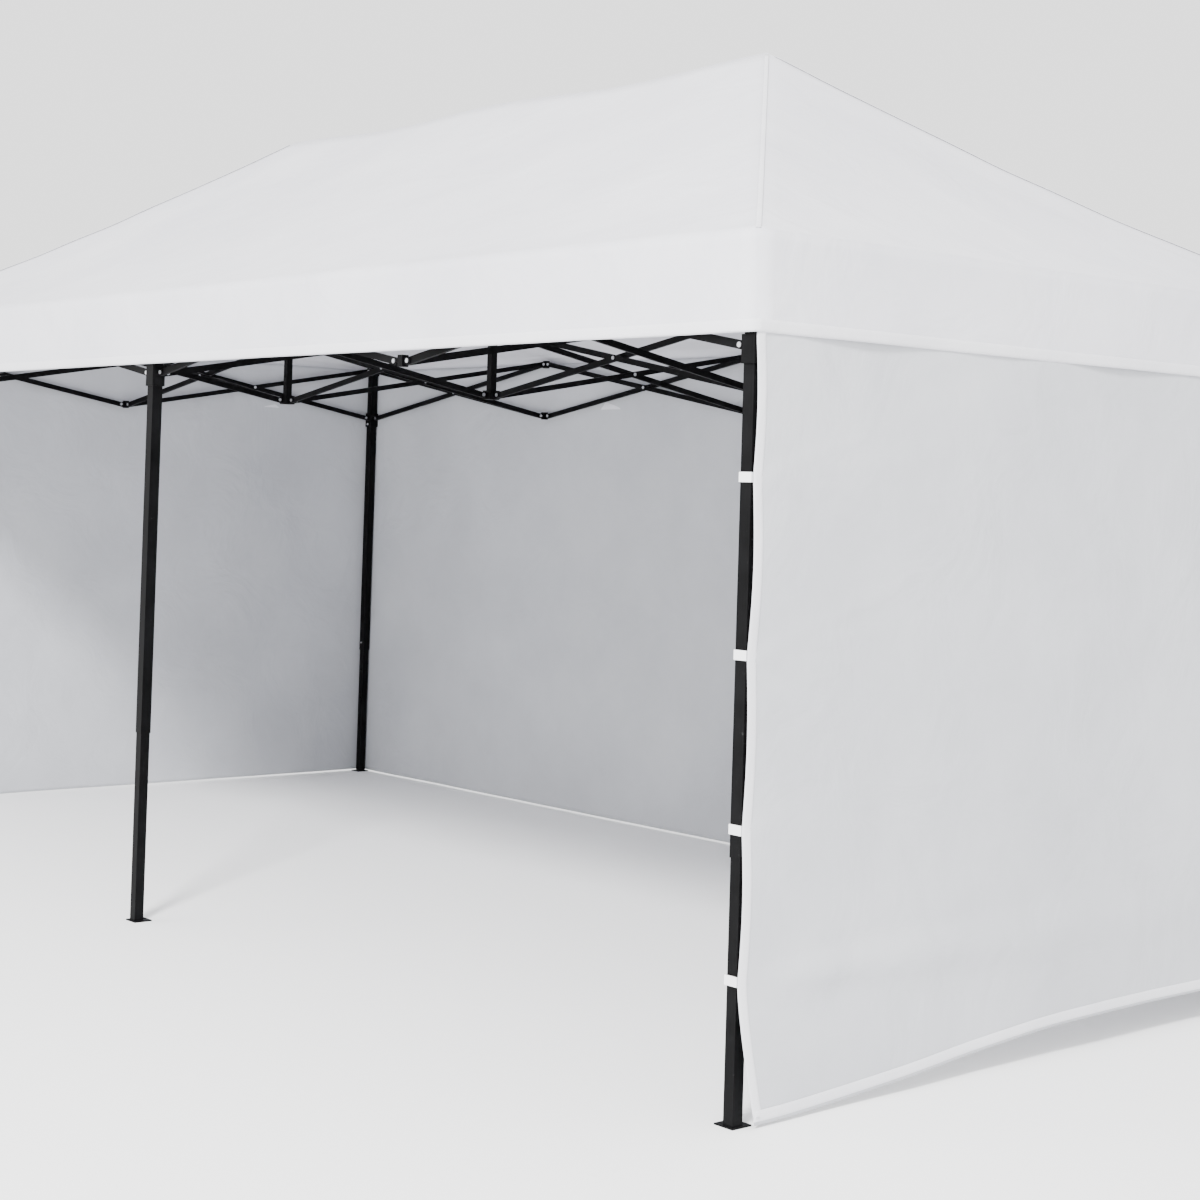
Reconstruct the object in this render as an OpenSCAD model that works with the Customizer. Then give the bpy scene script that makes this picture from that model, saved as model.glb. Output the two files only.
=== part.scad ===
// Pop-up canopy: folding scissor frame on six telescopic legs, hip roof with
// a valance, and three side walls. Origin: floor level, centre of the plan.
// +X runs along the long side, -Y is the open front, +Z is up. Millimetres.

/* [Plan] */
// Distance between neighbouring frame joints, half of a bay
pitch = 1500; // [1480:5:1520]
// Overhang of the roof edge beyond the leg centres
overhang = 35; // [35:1:60]

/* [Heights] */
// Pivot level of the sliders and lower connectors
z_low = 1930; // [1900:5:1960]
// Pivot level of the top brackets and upper connectors
z_up = 2185; // [2150:5:2186]
// Top of the roof at the eaves
z_eave = 2216; // [2216:1:2260]
// Top of the roof along the ridge
z_ridge = 3100; // [2900:10:3200]
// Lower edge of the valance
z_valance = 1960; // [1900:10:2050]

/* [Legs] */
// Outer leg tube, across flats
leg_w = 38; // [36:1:40]
// Inner leg tube, across flats
inner_w = 34; // [30:1:34]
// Lower end of the outer leg tube
leg_bottom = 660; // [600:10:720]
// Length of the inner leg tube
inner_len = 1000; // [900:10:1100]
// Side of the square foot plate
foot_w = 66; // [60:1:68]

/* [Frame bars] */
// Depth of a scissor bar
bar_h = 22; // [18:1:24]
// Width of a scissor bar
bar_w = 12; // [10:1:12]
// Side of the square peak poles
pole_w = 28; // [24:1:30]

/* [Cloth] */
// Thickness that stands for the roof cloth
cloth_t = 4; // [3:1:5]
// Hollowness of the roof slopes, 1 is flat
slope_power = 1.2; // [1:0.05:1.35]
// Lower edge of the side walls
wall_bottom = 8; // [6:1:60]

/* [Hidden] */
LEG_NAMES = ["front_left", "front_middle", "front_right", "back_left", "back_middle", "back_right"];
LEG_COLS = [-2, 0, 2];

gap = 0.5;
tube_wall = 1.5;
bar_wall = 1.2;
post_half = 24;
post_reach = 42;
joint_half = 12;
joint_reach = 29;
bar_end = 14;
bolt_r = 4;
hole_r = 4.2;
head_r = 7;
head_t = 3;
tab_t = 5;
connector_h = 36;
slider_bottom = z_low - 48;
slider_top = z_low + 25;
bracket_top = z_up + 23;
foot_t = 4;
foot_shift = 9;
peg_hole_r = 5;
peg_hole_share = 2.6;
leg_button_z = 700;
leg_button_r = 4;
hole_step = 150;
slider_button_z = slider_bottom + 14;
slider_button_r = 6;
half_x = 2 * pitch + overhang;
half_y = pitch + overhang;
valance_t = 3;
wall_t = 2;
wall_off = 26;
wall_end = 23;
wall_drop = 26;
pole_drop = 60;
cap_drop = 24;
cap_r = 20;
pole_seat = 10;
cap_wall = 8;
button_proud = 5;
strap_h = 25;
strap_t = 2;
strap_heights = [360, 730, 1160, 1600];
frame_black = [0.05, 0.05, 0.06];
zinc = [0.8, 0.8, 0.8];
cloth_white = [0.93, 0.93, 0.95];

// A joint is a post where a leg or a peak pole stands, and plain elsewhere.
function is_leg(i, j) = abs(j) == 1 && abs(i) != 1;
function is_pole(i, j) = j == 0 && abs(i) < 2;
function is_post(i, j) = is_leg(i, j) || is_pole(i, j);
function reach(i, j) = is_post(i, j) ? post_reach : joint_reach;
function half_of(i, j) = is_post(i, j) ? post_half : joint_half;

function leg_col(k) = LEG_COLS[k % 3];
function leg_row(k) = k < 3 ? -1 : 1;

module at_leg(k) {
  translate([leg_col(k) * pitch, leg_row(k) * pitch, 0])
    children();
}

// Inward side of a leg is local +Y.
module facing_in(k) {
  rotate([0, 0, leg_row(k) < 0 ? 0 : 180])
    children();
}

module square_bar(w, z0, z1) {
  translate([-w / 2, -w / 2, z0])
    cube([w, w, z1 - z0]);
}

module square_tube(w, inside, z0, z1) {
  difference() {
    square_bar(w, z0, z1);
    square_bar(inside, z0 - 1, z1 + 1);
  }
}

// Round bore or plunger along +Y at height z, from y0 to y1.
module along_y(r, z, y0, y1) {
  translate([0, y0, z])
    rotate([-90, 0, 0])
      cylinder(r = r, h = y1 - y0, $fn = 32);
}

module leg_outer(k) {
  color(frame_black)
    at_leg(k) facing_in(k)
      difference() {
        square_tube(leg_w, leg_w - 2 * tube_wall, leg_bottom, bracket_top - cap_wall);
        along_y(leg_button_r + 0.3, leg_button_z, 0, leg_w);
        along_y(slider_button_r + 0.4, slider_button_z, 0, leg_w);
      }
}

module leg_inner(k) {
  color(frame_black)
    at_leg(k) facing_in(k)
      difference() {
        square_tube(inner_w, inner_w - 2 * tube_wall, foot_t, foot_t + inner_len);
        for (n = [0:2])
          along_y(leg_button_r + 0.5, leg_button_z - n * hole_step, 0, leg_w);
      }
}

module foot_plate(k) {
  sx = leg_col(k) == 0 ? 0 : -sign(leg_col(k)) * foot_shift;
  sy = -leg_row(k) * foot_shift;
  color(frame_black)
    at_leg(k)
      translate([sx, sy, 0])
        difference() {
          square_bar(foot_w, 0, foot_t);
          translate([sx * peg_hole_share, sy * peg_hole_share, -1])
            cylinder(r = peg_hole_r, h = foot_t + 2, $fn = 32);
        }
}

// Directions, as [dx, dy], in which a frame joint has a scissor.
function directions(i, j) = [
  if (i < 2) [1, 0],
  if (i > -2) [-1, 0],
  if (j < 1) [0, 1],
  if (j > -1) [0, -1]
];

// The side of the bar's centre plane on which a joint's tab lies.
// A bar that falls towards + has its tab at +, and one that rises at -.
function tab_side(d, upper) = (d[0] + d[1] > 0) == upper ? 1 : -1;

// Tabs with bolt holes, around one joint, at one pivot level.
module tabs(i, j, z, upper) {
  from = half_of(i, j);
  to = reach(i, j);
  for (d = directions(i, j)) {
    side = tab_side(d, upper);
    flip = d[0] + d[1] > 0 ? side : -side;
    lateral = d[0] != 0 ? flip : -flip;
    rotate([0, 0, atan2(d[1], d[0])])
      translate([0, lateral > 0 ? 0 : -tab_t, z])
        difference() {
          union() {
            translate([from - 1, 0, -bar_h / 2])
              cube([to - from + 1, tab_t, bar_h]);
            translate([to, 0, 0])
              rotate([-90, 0, 0])
                cylinder(r = bar_h / 2, h = tab_t, $fn = 48);
          }
          translate([to, -1, 0])
            rotate([-90, 0, 0])
              cylinder(r = hole_r, h = tab_t + 2, $fn = 32);
        }
  }
}

module top_bracket(k) {
  color(frame_black)
    at_leg(k) {
      difference() {
        square_bar(2 * post_half, z_up - 24, bracket_top);
        square_bar(leg_w + gap, z_up - 25, bracket_top - cap_wall + gap / 2);
      }
      tabs(leg_col(k), leg_row(k), z_up, true);
    }
}

module slider(k) {
  color(frame_black)
    at_leg(k) {
      facing_in(k)
        difference() {
          square_bar(2 * post_half, slider_bottom, slider_top);
          square_bar(leg_w + gap, slider_bottom - 1, slider_top + 1);
          along_y(slider_button_r + 0.3, slider_button_z, 0, 2 * post_half);
        }
      tabs(leg_col(k), leg_row(k), z_low, false);
    }
}

module slider_button(k) {
  color(zinc)
    at_leg(k) facing_in(k)
      along_y(slider_button_r, slider_button_z, leg_w / 2 + 1, post_half + button_proud);
}

module leg_button(k) {
  color(zinc)
    at_leg(k) facing_in(k)
      along_y(leg_button_r, leg_button_z, inner_w / 2 + gap, leg_w / 2 + button_proud);
}

// One scissor bar along local +X, from pivot to pivot, on one lateral side.
module bar(run, rise, side) {
  length = sqrt(run * run + rise * rise);
  y0 = side > 0 ? gap : -gap - bar_w;
  rotate([0, -atan2(rise, run), 0])
    difference() {
      translate([-bar_end, y0, -bar_h / 2])
        cube([length + 2 * bar_end, bar_w, bar_h]);
      translate([-bar_end - 1, y0 + bar_wall, bar_wall - bar_h / 2])
        cube([length + 2 * bar_end + 2, bar_w - 2 * bar_wall, bar_h - 2 * bar_wall]);
      for (x = [0, length / 2, length])
        translate([x, -bar_w - 1, 0])
          rotate([-90, 0, 0])
            cylinder(r = hole_r, h = 2 * bar_w + 2, $fn = 32);
    }
}

// The crossed pair between joint (i, j) and its neighbour towards + d.
module scissor(i, j, d) {
  r0 = reach(i, j);
  r1 = reach(i + d[0], j + d[1]);
  run = pitch - r0 - r1;
  fall_side = d[0] != 0 ? -1 : 1;
  translate([i * pitch, j * pitch, 0])
    rotate([0, 0, atan2(d[1], d[0])]) {
      translate([r0, 0, z_up])
        bar(run, z_low - z_up, fall_side);
      translate([r0, 0, z_low])
        bar(run, z_up - z_low, -fall_side);
    }
}

module scissor_row(j) {
  color(frame_black)
    for (i = [-2:1])
      scissor(i, j, [1, 0]);
}

module scissor_column(i) {
  color(frame_black)
    for (j = [-1:0])
      scissor(i, j, [0, 1]);
}

module connectors(z, upper) {
  for (i = [-2:2], j = [-1:1])
    if (!is_leg(i, j))
      translate([i * pitch, j * pitch, 0]) {
        difference() {
          square_bar(2 * half_of(i, j), z - connector_h / 2, z + connector_h / 2);
          if (is_pole(i, j))
            square_bar(pole_w + gap, z - (upper ? connector_h : pole_seat), z + connector_h);
        }
        tabs(i, j, z, upper);
      }
}

module upper_connectors() {
  color(frame_black)
    connectors(z_up, true);
}

module lower_connectors() {
  color(frame_black)
    connectors(z_low, false);
}

pole_top = z_ridge - pole_drop;
cap_top = z_ridge - cap_drop;

module peak_poles() {
  color(frame_black)
    for (i = [-1:1])
      translate([i * pitch, 0, 0])
        square_tube(pole_w, pole_w - 2 * tube_wall, z_low - pole_seat + 1, pole_top);
}

module peak_caps() {
  color(frame_black)
    for (i = [-1:1])
      translate([i * pitch, 0, pole_top])
        cylinder(r = cap_r, h = cap_top - pole_top, $fn = 48);
}

// A bolt across the bars, along local Y, from y0 to y1 between its heads.
module bolt(y0, y1) {
  translate([0, y0 - head_t, 0])
    rotate([-90, 0, 0]) {
      cylinder(r = bolt_r, h = y1 - y0 + 2 * head_t, $fn = 32);
      cylinder(r = head_r, h = head_t, $fn = 32);
      translate([0, 0, y1 - y0 + head_t])
        cylinder(r = head_r, h = head_t, $fn = 6);
    }
}

bar_face = gap + bar_w + 0.2;
tab_face = tab_t + 0.2;

module scissor_bolts(i, j, d) {
  r0 = reach(i, j);
  run = pitch - r0 - reach(i + d[0], j + d[1]);
  fall = d[0] != 0 ? -1 : 1;
  translate([i * pitch, j * pitch, 0])
    rotate([0, 0, atan2(d[1], d[0])])
      translate([r0, 0, 0]) {
        for (end = [[0, z_up, fall], [run, z_low, fall], [0, z_low, -fall], [run, z_up, -fall]])
          translate([end[0], 0, end[1]])
            if (end[2] > 0) bolt(-tab_face, bar_face);
            else bolt(-bar_face, tab_face);
        translate([run / 2, 0, (z_up + z_low) / 2])
          bolt(-bar_face, bar_face);
      }
}

module pivot_bolts() {
  color(zinc) {
    for (i = [-2:1], j = [-1:1])
      scissor_bolts(i, j, [1, 0]);
    for (i = [-2:2], j = [-1:0])
      scissor_bolts(i, j, [0, 1]);
  }
}

// Roof cloth: a hip roof whose slopes are slightly hollow.
cells = 12;
roof_xs = [
  for (k = [0:cells]) -half_x + k * half_y / cells,
  for (k = [1:cells]) -pitch + k * 2 * pitch / cells,
  for (k = [1:cells]) pitch + k * half_y / cells
];
roof_ys = [for (k = [-cells:cells]) k * half_y / cells];
nx = len(roof_xs);
ny = len(roof_ys);
function slope_share(x, y) = max(abs(y), abs(x) - pitch, 0) / half_y;
function roof_z(x, y) =
  z_eave + (z_ridge - z_eave) * pow(max(0, 1 - slope_share(x, y)), slope_power);
function top_at(i, j) = i * ny + j;
function under_at(i, j) = nx * ny + top_at(i, j);
function along_hip(i, j) = (roof_xs[i] + roof_xs[i + 1]) * (roof_ys[j] + roof_ys[j + 1]) > 0;

module roof_shell() {
  points = [
    for (x = roof_xs, y = roof_ys) [x, y, roof_z(x, y)],
    for (x = roof_xs, y = roof_ys) [x, y, roof_z(x, y) - cloth_t]
  ];
  faces = [
    for (i = [0:nx - 2], j = [0:ny - 2])
      let (a = top_at(i, j), b = top_at(i + 1, j), c = top_at(i + 1, j + 1),
           d = top_at(i, j + 1))
        each along_hip(i, j) ? [[a, d, c], [a, c, b]] : [[a, d, b], [d, c, b]],
    for (i = [0:nx - 2], j = [0:ny - 2])
      let (a = under_at(i, j), b = under_at(i + 1, j), c = under_at(i + 1, j + 1),
           d = under_at(i, j + 1))
        each along_hip(i, j) ? [[a, c, d], [a, b, c]] : [[a, b, d], [d, b, c]],
    for (i = [0:nx - 2])
      each [[top_at(i, 0), top_at(i + 1, 0), under_at(i + 1, 0), under_at(i, 0)],
            [top_at(i + 1, ny - 1), top_at(i, ny - 1), under_at(i, ny - 1), under_at(i + 1, ny - 1)]],
    for (j = [0:ny - 2])
      each [[top_at(0, j + 1), top_at(0, j), under_at(0, j), under_at(0, j + 1)],
            [top_at(nx - 1, j), top_at(nx - 1, j + 1), under_at(nx - 1, j + 1), under_at(nx - 1, j)]]
  ];
  polyhedron(points = points, faces = faces, convexity = 4);
}

module valance() {
  translate([0, 0, z_valance])
    difference() {
      translate([-half_x, -half_y, 0])
        cube([2 * half_x, 2 * half_y, z_eave - 1 - z_valance]);
      translate([valance_t - half_x, valance_t - half_y, -1])
        cube([2 * (half_x - valance_t), 2 * (half_y - valance_t), z_eave]);
    }
}

module roof() {
  color(cloth_white) {
    roof_shell();
    valance();
  }
}

wall_top = z_eave - wall_drop;

// The end walls, at side = 1 on the right and -1 on the left.
module end_wall(side) {
  x0 = 2 * pitch + wall_off;
  color(cloth_white)
    translate([side > 0 ? x0 : -x0 - wall_t, -pitch - wall_end, wall_bottom])
      cube([wall_t, 2 * (pitch + wall_end), wall_top - wall_bottom]);
}

module wall_back() {
  color(cloth_white)
    translate([-2 * pitch - wall_end, pitch + wall_off, wall_bottom])
      cube([2 * (2 * pitch + wall_end), wall_t, wall_top - wall_bottom]);
}

// Hook-and-loop straps that tie the right wall to the front corner leg.
module wall_straps() {
  inner = leg_w + 2;
  outer = inner + 2 * strap_t;
  color(cloth_white)
    translate([2 * pitch, -pitch, 0])
      for (z = strap_heights) {
        square_tube(outer, inner, z - strap_h / 2, z + strap_h / 2);
        translate([outer / 2 - 1, outer / 2 - strap_t, z - strap_h / 2])
          cube([wall_off - outer / 2 + 1, strap_t, strap_h]);
      }
}

for (k = [0:5]) {
  leg_outer(k);
  leg_inner(k);
  foot_plate(k);
  top_bracket(k);
  slider(k);
  slider_button(k);
  leg_button(k);
}
scissor_row(-1);  // scissor_bars_front
scissor_row(0);  // scissor_bars_ridge
scissor_row(1);  // scissor_bars_back
scissor_column(-2);  // scissor_bars_left_end
scissor_column(-1);  // scissor_bars_left
scissor_column(0);  // scissor_bars_middle
scissor_column(1);  // scissor_bars_right
scissor_column(2);  // scissor_bars_right_end
upper_connectors();
lower_connectors();
peak_poles();
peak_caps();
pivot_bolts();
roof();
end_wall(1);  // wall_right
wall_back();
end_wall(-1);  // wall_left
wall_straps();
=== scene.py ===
import math

import bpy
from mathutils import Matrix, Vector, noise


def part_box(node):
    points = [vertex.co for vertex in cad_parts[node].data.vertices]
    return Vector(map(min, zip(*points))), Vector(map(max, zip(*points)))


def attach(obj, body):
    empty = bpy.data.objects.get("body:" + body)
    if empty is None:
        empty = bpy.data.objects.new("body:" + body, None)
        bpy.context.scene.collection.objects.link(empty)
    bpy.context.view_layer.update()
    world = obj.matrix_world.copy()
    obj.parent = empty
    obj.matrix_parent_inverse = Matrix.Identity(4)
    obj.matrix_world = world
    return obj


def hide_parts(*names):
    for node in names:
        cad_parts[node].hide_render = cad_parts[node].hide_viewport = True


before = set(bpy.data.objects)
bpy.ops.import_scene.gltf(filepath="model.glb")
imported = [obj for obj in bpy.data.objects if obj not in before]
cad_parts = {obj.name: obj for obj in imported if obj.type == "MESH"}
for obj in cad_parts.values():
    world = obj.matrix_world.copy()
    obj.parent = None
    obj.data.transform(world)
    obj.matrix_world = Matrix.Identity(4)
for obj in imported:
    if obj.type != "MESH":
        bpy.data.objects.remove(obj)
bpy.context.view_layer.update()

# ---------------------------------------------------------------- sizes
ROOF_LOW, ROOF_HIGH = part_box("roof")
HALF_X, HALF_Y = ROOF_HIGH[0], ROOF_HIGH[1]
RIDGE_Z = ROOF_HIGH[2]
VALANCE_Z = ROOF_LOW[2]
BRACKET_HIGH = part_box("top_bracket_front_right")[1]
EAVE_Z = BRACKET_HIGH[2] + 0.008
POLE_X = HALF_X - HALF_Y
SLOPE_POWER = 1.2
ROOF_T = 0.0014
WALL_T = 0.0012
HEM_T = 0.0006
SKIN_DROP = 0.0015      # the cloth's top lies this far under the CAD roof's
RIDGE_SAG = 0.022       # between two peak poles
VALANCE_HEM = 0.030
WALL_HEM = 0.028
HIP_SEAM = 0.014
STRAP_Z = (0.36, 0.73, 1.16, 1.60)
EDGE_PULL = 0.009       # the wall's free edge draws back this far between straps
HEM_LIFT = 0.085        # the right wall's bottom edge rises away from its loose corner
HEM_LIFT_SHARE = 0.5
CORNER_SWING = 0.055    # how far the loose corner hangs back from the leg

# The camera: position in metres, heading, pitch and roll in degrees, lens in millimetres.
CAMERA_PLACE = (6.814, -5.274, 1.543)
CAMERA_TURN = (-49.33, 1.21, 1.75)
CAMERA_LENS = 64.8
CAMERA_SHIFT = (0.0, -0.125)


# ---------------------------------------------------------------- materials
def new_material(name):
    material = bpy.data.materials.new(name)
    material.use_nodes = True
    tree = material.node_tree
    return material, tree, tree.nodes["Principled BSDF"]


def add(tree, kind, **values):
    item = tree.nodes.new(kind)
    for key, value in values.items():
        if hasattr(item, key):
            setattr(item, key, value)
        else:
            item.inputs[key.replace("_", " ")].default_value = value
    return item


def colour_ramp(tree, source, stops):
    ramp = tree.nodes.new("ShaderNodeValToRGB")
    first, last = ramp.color_ramp.elements
    first.position, first.color = stops[0][0], (*stops[0][1], 1)
    last.position, last.color = stops[1][0], (*stops[1][1], 1)
    tree.links.new(source, ramp.inputs["Fac"])
    return ramp


def cloth_material(name, dark, light, roughness=0.62, weave=900.0, let_through=0.0):
    """Coated polyester: a fine plain weave, soft creases and faint handling marks."""
    material, tree, shader = new_material(name)
    links = tree.links
    place = add(tree, "ShaderNodeTexCoord")
    marks = add(tree, "ShaderNodeTexNoise", Scale=1.7, Detail=5.0, Roughness=0.6)
    links.new(place.outputs["Object"], marks.inputs["Vector"])
    ramp = colour_ramp(tree, marks.outputs["Fac"], ((0.3, dark), (0.7, light)))
    links.new(ramp.outputs["Color"], shader.inputs["Base Color"])
    rough = add(tree, "ShaderNodeMapRange", To_Min=roughness - 0.08, To_Max=roughness + 0.08)
    links.new(marks.outputs["Fac"], rough.inputs["Value"])
    links.new(rough.outputs["Result"], shader.inputs["Roughness"])
    warp = add(tree, "ShaderNodeTexWave", bands_direction="DIAGONAL", Scale=weave / 6.0, Distortion=0.3)
    weft = add(tree, "ShaderNodeTexWave", bands_direction="Z", Scale=weave / 6.0, Distortion=0.3)
    for thread in (warp, weft):
        links.new(place.outputs["Object"], thread.inputs["Vector"])
    both = add(tree, "ShaderNodeMath", operation="MAXIMUM")
    links.new(warp.outputs["Fac"], both.inputs[0])
    links.new(weft.outputs["Fac"], both.inputs[1])
    threads = add(tree, "ShaderNodeBump", Strength=0.08, Distance=0.0004)
    links.new(both.outputs["Value"], threads.inputs["Height"])
    creases = add(tree, "ShaderNodeTexNoise", Scale=3.2, Detail=4.0, Roughness=0.5, Distortion=0.8)
    links.new(place.outputs["Object"], creases.inputs["Vector"])
    soft = add(tree, "ShaderNodeBump", Strength=0.45, Distance=0.03)
    links.new(creases.outputs["Fac"], soft.inputs["Height"])
    links.new(threads.outputs["Normal"], soft.inputs["Normal"])
    links.new(soft.outputs["Normal"], shader.inputs["Normal"])
    shader.inputs["Sheen Weight"].default_value = 0.15
    shader.inputs["Sheen Roughness"].default_value = 0.5
    shader.inputs["Specular IOR Level"].default_value = 0.35
    return material


def metal_material(name, dark, light, roughness, metallic, grain, bump):
    """Powder coat, moulded plastic or plated steel: fine grain, cloudy gloss and small pale scuffs."""
    material, tree, shader = new_material(name)
    links = tree.links
    place = add(tree, "ShaderNodeTexCoord")
    cloud = add(tree, "ShaderNodeTexNoise", Scale=9.0, Detail=6.0, Roughness=0.65)
    links.new(place.outputs["Object"], cloud.inputs["Vector"])
    ramp = colour_ramp(tree, cloud.outputs["Fac"], ((0.35, dark), (0.75, light)))
    scuffs = add(tree, "ShaderNodeTexNoise", Scale=42.0, Detail=8.0, Roughness=0.7)
    links.new(place.outputs["Object"], scuffs.inputs["Vector"])
    worn = colour_ramp(tree, scuffs.outputs["Fac"], ((0.66, (0, 0, 0)), (0.74, (1, 1, 1))))
    mix = add(tree, "ShaderNodeMix", data_type="RGBA", blend_type="MIX")
    links.new(worn.outputs["Color"], mix.inputs["Factor"])
    links.new(ramp.outputs["Color"], mix.inputs["A"])
    mix.inputs["B"].default_value = (*[min(1.0, c * 2.2 + 0.02) for c in light], 1)
    links.new(mix.outputs["Result"], shader.inputs["Base Color"])
    rough = add(tree, "ShaderNodeMapRange", To_Min=roughness - 0.07, To_Max=roughness + 0.1)
    links.new(cloud.outputs["Fac"], rough.inputs["Value"])
    links.new(rough.outputs["Result"], shader.inputs["Roughness"])
    speckle = add(tree, "ShaderNodeTexNoise", Scale=grain, Detail=2.0)
    links.new(place.outputs["Object"], speckle.inputs["Vector"])
    relief = add(tree, "ShaderNodeBump", Strength=bump, Distance=0.0004)
    links.new(speckle.outputs["Fac"], relief.inputs["Height"])
    links.new(relief.outputs["Normal"], shader.inputs["Normal"])
    shader.inputs["Metallic"].default_value = metallic
    shader.inputs["Specular IOR Level"].default_value = 0.5 if metallic else 0.06
    return material


ROOF_CLOTH = cloth_material("roof_cloth", (0.66, 0.66, 0.71), (0.74, 0.74, 0.78))
# Wall cloth: the same fabric as the roof, with its grey darkened as painted shade for the upright walls.
WALL_CLOTH_PAINTED_SHADE = cloth_material("wall_cloth", (0.47, 0.48, 0.51), (0.55, 0.56, 0.59), roughness=0.7)
HEM_CLOTH = cloth_material("hem_cloth", (0.70, 0.70, 0.74), (0.78, 0.78, 0.81), roughness=0.66)
STRAP_CLOTH = cloth_material("strap_cloth", (0.86, 0.86, 0.88), (0.93, 0.93, 0.94), weave=1800.0)
POWDER_BLACK = metal_material("powder_black", (0.002, 0.002, 0.0022), (0.005, 0.005, 0.0055),
                              0.5, 0.0, 700.0, 0.25)
ZINC = metal_material("zinc_plate", (0.62, 0.63, 0.66), (0.80, 0.80, 0.82), 0.3, 1.0, 300.0, 0.12)
CAP_BLACK = metal_material("moulded_black", (0.012, 0.012, 0.013), (0.03, 0.03, 0.03),
                           0.55, 0.0, 420.0, 0.4)


def dress(node, material):
    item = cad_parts[node]
    item.data.materials.clear()
    item.data.materials.append(material)


ZINC_NODES = ("pivot_bolts", "slider_button_", "leg_button_")
for node_name in list(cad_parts):
    if node_name.startswith(ZINC_NODES):
        dress(node_name, ZINC)
    elif node_name == "peak_caps":
        dress(node_name, CAP_BLACK)
    elif node_name == "wall_straps":
        dress(node_name, STRAP_CLOTH)
    elif not node_name.startswith(("roof", "wall")):
        dress(node_name, POWDER_BLACK)


# ---------------------------------------------------------------- mesh helpers
def piece_from(name, points, faces, material, smooth=True):
    mesh = bpy.data.meshes.new(name)
    mesh.from_pydata([tuple(p) for p in points], [], faces)
    mesh.validate()
    mesh.update()
    piece = bpy.data.objects.new(name, mesh)
    bpy.context.scene.collection.objects.link(piece)
    mesh.materials.append(material)
    for face in mesh.polygons:
        face.use_smooth = smooth
    return piece


def thicken(piece, thickness, offset=-1.0):
    solid = piece.modifiers.new("cloth thickness", "SOLIDIFY")
    solid.thickness = thickness
    solid.offset = offset
    return piece


def grid(rows, columns, place):
    points = [place(r / rows, c / columns) for r in range(rows + 1) for c in range(columns + 1)]
    step = columns + 1
    faces = [
        (r * step + c, r * step + c + 1, (r + 1) * step + c + 1, (r + 1) * step + c)
        for r in range(rows) for c in range(columns)
    ]
    return points, faces


def bump_noise(x, y, z, seed):
    return noise.noise(Vector((x, y, z + seed)))


# ---------------------------------------------------------------- roof
def slope_share(x, y):
    return min(1.0, max(abs(y), abs(x) - POLE_X, 0.0) / HALF_Y)


def roof_height(x, y):
    """Hollow hip roof, sagging a little between the peak poles and near the eaves."""
    share = slope_share(x, y)
    height = EAVE_Z + (RIDGE_Z - EAVE_Z) * (1 - share) ** SLOPE_POWER
    between = math.sin(math.pi * x / POLE_X) ** 2 if abs(x) < POLE_X else 0.0
    height -= RIDGE_SAG * between * (1 - share) ** 2
    ripple = 0.012 * bump_noise(x * 1.6, y * 1.6, 0, 3.0) + 0.006 * bump_noise(x * 4, y * 4, 0, 7.0)
    height += (ripple - 0.004) * math.sin(math.pi * share) ** 0.7
    return height - SKIN_DROP


def valance_wave(along, share):
    """How far the valance stands out, at a place along the edge and a share of its drop."""
    wave = 0.0035 * math.sin(along * 5.1) + 0.003 * math.sin(along * 11.7 + 1.0)
    return (wave - 0.001) * share


ROWS = 24
MIDDLE = 28
DROPS = 10
roof_xs = [-HALF_X + k * HALF_Y / ROWS for k in range(ROWS)]
roof_xs += [-POLE_X + k * 2 * POLE_X / MIDDLE for k in range(MIDDLE)]
roof_xs += [POLE_X + k * HALF_Y / ROWS for k in range(ROWS + 1)]
roof_ys = [-HALF_Y + k * HALF_Y / ROWS for k in range(2 * ROWS + 1)]


def roof_edge_loop():
    last_x, last_y = len(roof_xs) - 1, len(roof_ys) - 1
    loop = [(i, 0) for i in range(last_x)]
    loop += [(last_x, j) for j in range(last_y)]
    loop += [(i, last_y) for i in range(last_x, 0, -1)]
    loop += [(0, j) for j in range(last_y, 0, -1)]
    return loop


def make_roof():
    count_y = len(roof_ys)
    points = [Vector((x, y, roof_height(x, y))) for x in roof_xs for y in roof_ys]
    faces = []
    for i in range(len(roof_xs) - 1):
        for j in range(count_y - 1):
            a, b = i * count_y + j, (i + 1) * count_y + j
            c, d = b + 1, a + 1
            middle_x = (roof_xs[i] + roof_xs[i + 1]) / 2
            middle_y = (roof_ys[j] + roof_ys[j + 1]) / 2
            if middle_x * middle_y > 0:
                faces += [(a, b, c), (a, c, d)]
            else:
                faces += [(a, b, d), (b, c, d)]
    loop = roof_edge_loop()
    above = [i * count_y + j for i, j in loop]
    corners = [points[k].copy() for k in above]
    along = [0.0]
    for k in range(1, len(corners)):
        along.append(along[-1] + (corners[k] - corners[k - 1]).length)
    for drop in range(1, DROPS + 1):
        share = drop / DROPS
        row = []
        for k, corner in enumerate(corners):
            out = Vector((0, 0, 0))
            if abs(abs(corner.x) - HALF_X) < 1e-4:
                out.x = math.copysign(1, corner.x)
            if abs(abs(corner.y) - HALF_Y) < 1e-4:
                out.y = math.copysign(1, corner.y)
            place = corner + out * valance_wave(along[k], share)
            place.z = EAVE_Z - SKIN_DROP + (VALANCE_Z - EAVE_Z) * share
            row.append(len(points))
            points.append(place)
        for k in range(len(row)):
            n = (k + 1) % len(row)
            faces.append((above[k], row[k], row[n], above[n]))
        above = row
    piece = thicken(piece_from("roof_cloth_sheet", points, faces, ROOF_CLOTH), ROOF_T)
    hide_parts("roof")
    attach(piece, "frame")
    return piece


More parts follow.
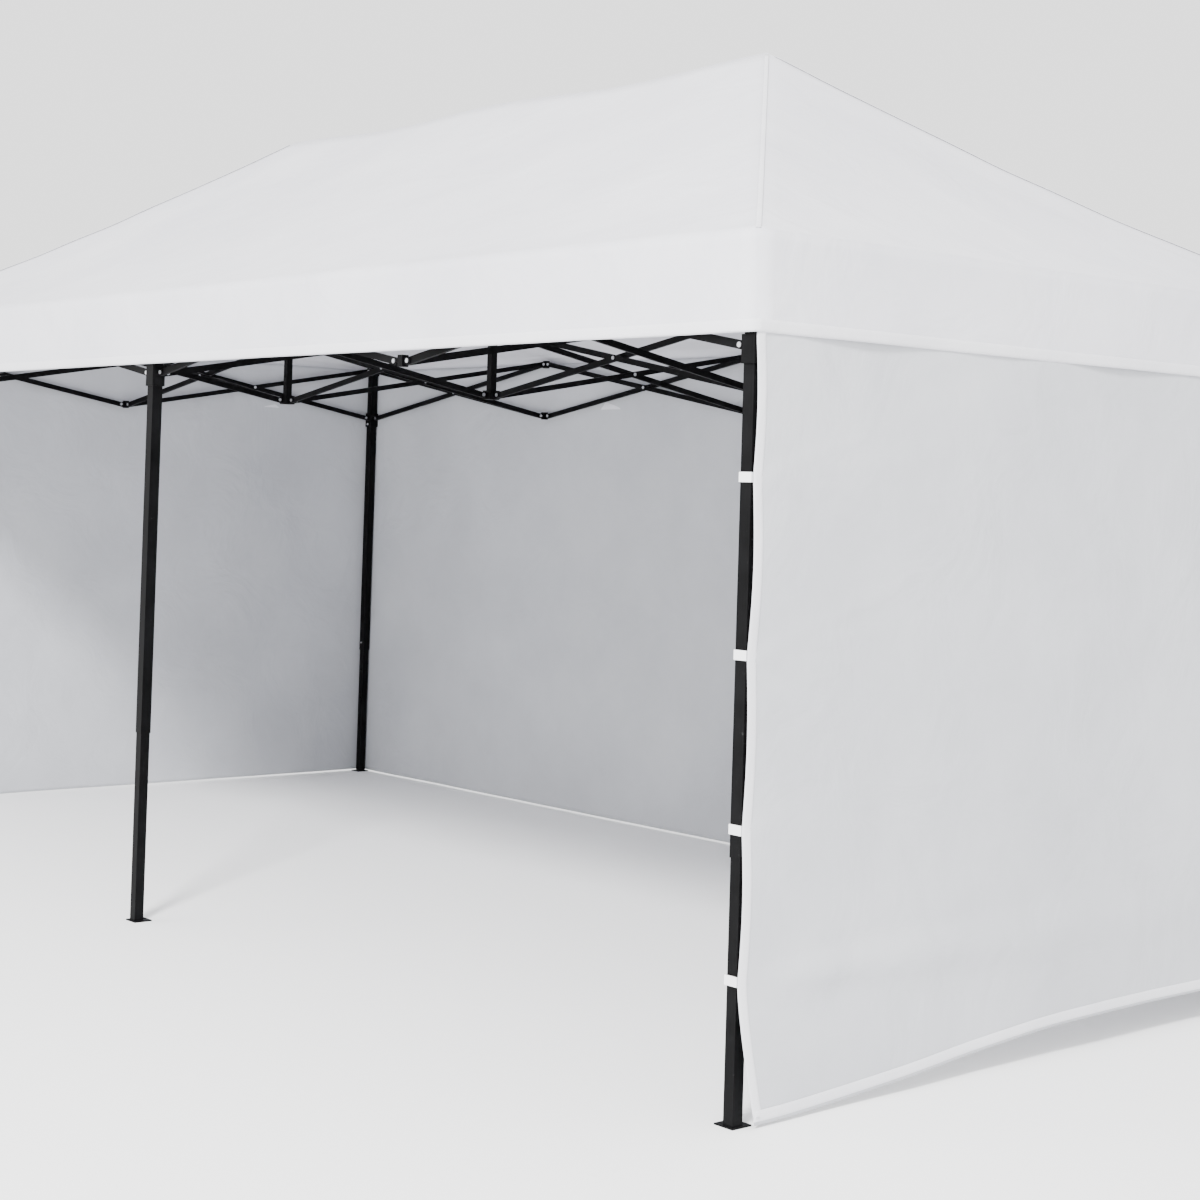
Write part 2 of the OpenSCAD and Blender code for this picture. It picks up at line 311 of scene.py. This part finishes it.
# ---------------------------------------------------------------- hems and seams
def band(name, path, width_dir, width, lift_dir, lift, material, crown=0.0006):
    """A flat tape along a path: crowned in section, with folded edges."""
    top = 1.0 + crown / lift
    profile = [(-0.5, 0.0), (-0.46, 1.0), (-0.2, top), (0.2, top), (0.46, 1.0), (0.5, 0.0)]
    points, faces = [], []
    for place in path:
        w = width_dir(place)
        up = lift_dir(place)
        for across, high in profile:
            points.append(place + w * (across * width) + up * (lift * high))
    size = len(profile)
    for k in range(len(path) - 1):
        for m in range(size - 1):
            a = k * size + m
            faces.append((a, a + 1, a + size + 1, a + size))
    piece = thicken(piece_from(name, points, faces, material), HEM_T, 0.0)
    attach(piece, "frame")
    return piece


def hip_path(sx, sy, steps=60):
    path = []
    for k in range(steps + 1):
        share = 0.012 + 0.985 * k / steps
        x, y = sx * (POLE_X + HALF_Y * share), sy * HALF_Y * share
        path.append(Vector((x, y, roof_height(x, y))))
    return path


def make_roof_seams():
    pieces = []
    for sx in (-1, 1):
        for sy in (-1, 1):
            end = "right" if sx > 0 else "left"
            front = "back" if sy > 0 else "front"
            name = "roof_hip_seam_%s_%s" % (end, front)
            side = Vector((-sx, sy, 0)).normalized()
            pieces.append(band(name, hip_path(sx, sy), lambda p, s=side: s, HIP_SEAM,
                               lambda p: Vector((0, 0, 1)), 0.0012, HEM_CLOTH))
    return pieces


def make_valance_hem():
    pieces = []
    z = VALANCE_Z + 0.016
    first = 0.0
    for name, start, end, out in (
        ("valance_hem_front", (-HALF_X, -HALF_Y), (HALF_X, -HALF_Y), (0, -1)),
        ("valance_hem_right", (HALF_X, -HALF_Y), (HALF_X, HALF_Y), (1, 0)),
        ("valance_hem_back", (HALF_X, HALF_Y), (-HALF_X, HALF_Y), (0, 1)),
        ("valance_hem_left", (-HALF_X, HALF_Y), (-HALF_X, -HALF_Y), (-1, 0)),
    ):
        a, b = Vector((*start, z)), Vector((*end, z))
        steps = 120
        share = (EAVE_Z - z) / (EAVE_Z - VALANCE_Z)
        outward = Vector((*out, 0))
        path = []
        for k in range(steps + 1):
            place = a.lerp(b, k / steps)
            wave = valance_wave(first + (b - a).length * k / steps, share)
            path.append(place + outward * (wave + 0.0002))
        pieces.append(band(name, path, lambda p: Vector((0, 0, 1)), VALANCE_HEM,
                           lambda p, o=outward: o, 0.0010, HEM_CLOTH))
        first += (b - a).length
    return pieces


# ---------------------------------------------------------------- side walls
def edge_pull(z):
    """How far the free front edge of the right wall draws back between its straps."""
    knots = (0.0, *STRAP_Z, 1.95, 2.3)
    for low, high in zip(knots, knots[1:]):
        if low <= z < high and low > 0.0:
            return EDGE_PULL * math.sin(math.pi * (z - low) / (high - low))
    return 0.0


def wall_bulge(along, z, top, seed):
    share = max(0.0, (top - z) / top)
    folds = 0.016 * bump_noise(along * 1.5, 0.0, z * 0.9, seed)
    folds += 0.006 * bump_noise(along * 3.7, 0.0, z * 2.6, seed + 9)
    return folds * min(1.0, share * 2.2) * 0.8


def smooth_step(value):
    value = min(1.0, max(0.0, value))
    return value * value * (3 - 2 * value)


def strap_folds(c, z):
    """Short creases that fan out from each strap into the cloth."""
    out = 0.0
    for strap in STRAP_Z[1:]:
        for slope in (-0.75, -0.25, 0.3, 0.8):
            line = z - strap - slope * c * 1.1
            width = 0.008 + 0.10 * c
            out += 0.006 * math.exp(-(line / width) ** 2) * smooth_step(c / 0.03) * math.exp(-c / 0.12)
    return out


def make_end_wall(name, node, side, loose):
    low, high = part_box(node)
    x0 = (low[0] + high[0]) / 2

    def place(r, c):
        near = 1 - c
        lift = HEM_LIFT * smooth_step(c / HEM_LIFT_SHARE) if loose else 0.0
        foot = low[2] + lift
        z = foot + (high[2] - foot) * r
        y = low[1] + (high[1] - low[1]) * c
        out = wall_bulge(y, z, high[2], 11.0 if side > 0 else 31.0)
        if loose:
            y += edge_pull(z) * near ** 6
            out += strap_folds(c, z)
            drop = max(0.0, 1 - z / STRAP_Z[0])
            y += CORNER_SWING * drop ** 1.4 * near ** 5
            out += 0.016 * drop * near ** 1.5
            fold = math.exp(-((z - STRAP_Z[0] + 0.02 * c) / (0.035 + 0.09 * c)) ** 2)
            out += 0.026 * fold * smooth_step(c / 0.12) * near
        return Vector((x0 + side * max(-0.001, out), y, z))

    points, faces = grid(120, 160, place)
    piece = thicken(piece_from(name, points, faces, WALL_CLOTH_PAINTED_SHADE), WALL_T, 0.0)
    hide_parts(node)
    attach(piece, "frame")
    hem = make_wall_hem(name + "_hem", place, side, loose)
    return piece


def make_wall_hem(name, place, side, loose):
    outward = Vector((side, 0, 0))
    steps = 140
    pieces = []
    bottom = [place(0.010, c / steps) + outward * 0.0008 for c in range(steps + 1)]
    pieces.append(band(name + "_bottom", bottom, lambda p: Vector((0, 0, 1)), WALL_HEM,
                       lambda p: outward, 0.0010, HEM_CLOTH))
    if loose:
        edge = [place(r / steps, 0.005) + outward * 0.0008 for r in range(1, steps)]
        pieces.append(band(name + "_edge", edge, lambda p: Vector((0, 1, 0)), 0.030,
                           lambda p: outward, 0.0010, HEM_CLOTH))
    return pieces


def make_back_wall():
    low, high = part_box("wall_back")
    y0 = (low[1] + high[1]) / 2

    def place(r, c):
        z = low[2] + (high[2] - low[2]) * r
        x = low[0] + (high[0] - low[0]) * c
        out = wall_bulge(x, z, high[2], 51.0)
        return Vector((x, y0 + max(-0.001, out), z))

    points, faces = grid(100, 260, place)
    piece = thicken(piece_from("wall_back_sheet", points, faces, WALL_CLOTH_PAINTED_SHADE), WALL_T, 0.0)
    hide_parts("wall_back")
    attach(piece, "frame")
    steps = 200
    outward = Vector((0, 1, 0))
    bottom = [place(0.010, c / steps) + outward * 0.0008 for c in range(steps + 1)]
    hem = band("wall_back_hem_bottom", bottom, lambda p: Vector((0, 0, 1)), WALL_HEM,
               lambda p: outward, 0.0010, HEM_CLOTH)
    return piece


roof = make_roof()
trims = make_roof_seams() + make_valance_hem()
make_end_wall("wall_right_sheet", "wall_right", 1, True)
make_end_wall("wall_left_sheet", "wall_left", -1, False)
make_back_wall()


# ---------------------------------------------------------------- stage, lights, camera
def make_stage():
    size = 40.0
    points = [(-size, -size, 0), (size, -size, 0), (size, size, 0), (-size, size, 0)]
    floor_material, tree, shader = new_material("floor_pale")
    shader.inputs["Base Color"].default_value = (0.97, 0.97, 0.97, 1)
    shader.inputs["Roughness"].default_value = 0.9
    floor = piece_from("floor", points, [(0, 1, 2, 3)], floor_material, smooth=False)


def make_light(name, place, target, size, power):
    data = bpy.data.lights.new(name, "AREA")
    data.shape = "DISK"
    data.size = size
    data.energy = power
    light = bpy.data.objects.new(name, data)
    bpy.context.scene.collection.objects.link(light)
    light.location = place
    light.rotation_euler = (Vector(target) - Vector(place)).to_track_quat("-Z", "Y").to_euler()


def make_world():
    world = bpy.data.worlds.new("studio")
    bpy.context.scene.world = world
    world.use_nodes = True
    sky = world.node_tree.nodes["Background"]
    sky.inputs["Color"].default_value = (1.0, 1.0, 1.0, 1)
    sky.inputs["Strength"].default_value = 2.1


def make_camera():
    """Placed by position, heading, pitch and roll, in degrees."""
    place = Vector(CAMERA_PLACE)
    heading, pitch, roll = (math.radians(v) for v in CAMERA_TURN)
    level = Vector((math.sin(heading), math.cos(heading), 0))
    ahead = level * math.cos(pitch) + Vector((0, 0, math.sin(pitch)))
    right = Vector((math.cos(heading), -math.sin(heading), 0))
    up = right.cross(ahead)
    right, up = right * math.cos(roll) + up * math.sin(roll), up * math.cos(roll) - right * math.sin(roll)
    data = bpy.data.cameras.new("camera")
    data.sensor_width = 36.0
    data.lens = CAMERA_LENS
    data.shift_x, data.shift_y = CAMERA_SHIFT
    data.clip_end = 200
    camera = bpy.data.objects.new("camera", data)
    bpy.context.scene.collection.objects.link(camera)
    turn = Matrix((right, up, -ahead)).transposed().to_4x4()
    camera.matrix_world = Matrix.Translation(place) @ turn
    bpy.context.scene.camera = camera


make_stage()
make_world()
make_light("key", (6.5, -9.0, 8.5), (0, 0, 1.5), 2.2, 3000)
make_light("fill", (-4.0, -9.0, 6.0), (-1, 0, 1.5), 4.0, 250)
make_camera()
